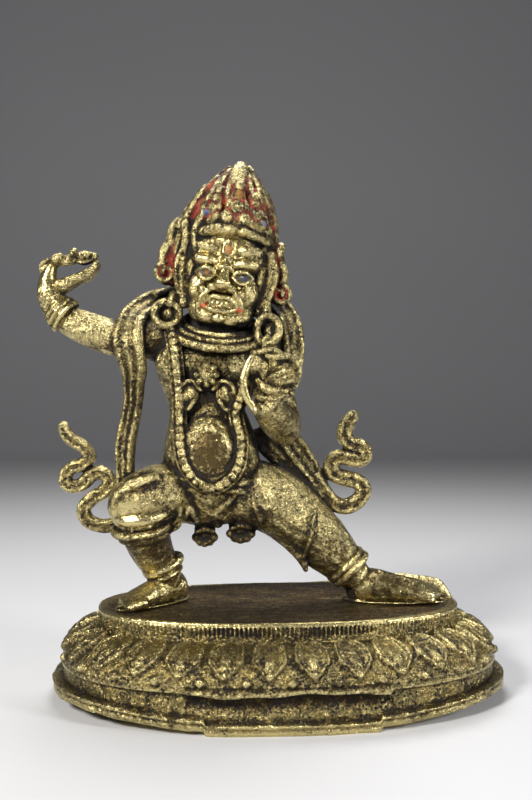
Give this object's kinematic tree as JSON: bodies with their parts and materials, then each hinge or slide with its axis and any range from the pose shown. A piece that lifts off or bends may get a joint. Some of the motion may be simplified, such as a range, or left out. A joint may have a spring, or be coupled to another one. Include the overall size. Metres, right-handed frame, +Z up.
{
  "type": "vajrapani statue",
  "caption": "Striding wrathful guardian deity with raised sceptre, noose, flowing scarf and flaming hair, standing on an oval lotus base.",
  "frame": {"origin": "on the ground, under the middle of the object's box", "axes": "+Z up, +X to the viewer's right along the base's length, -Y is the way the figure faces"},
  "size_m": [0.1324, 0.0804, 0.1504],
  "materials": {
    "gilt_figure": "worn gilding on copper alloy, chiselled, with dark recesses and red pigment in the hair",
    "gilt_base": "worn gilding on copper alloy, chiselled, with dark recesses"
  },
  "bodies": {
    "root": {"guardian_figure": "gilt_figure", "lotus_base": "gilt_base"}
  },
  "joints": []
}
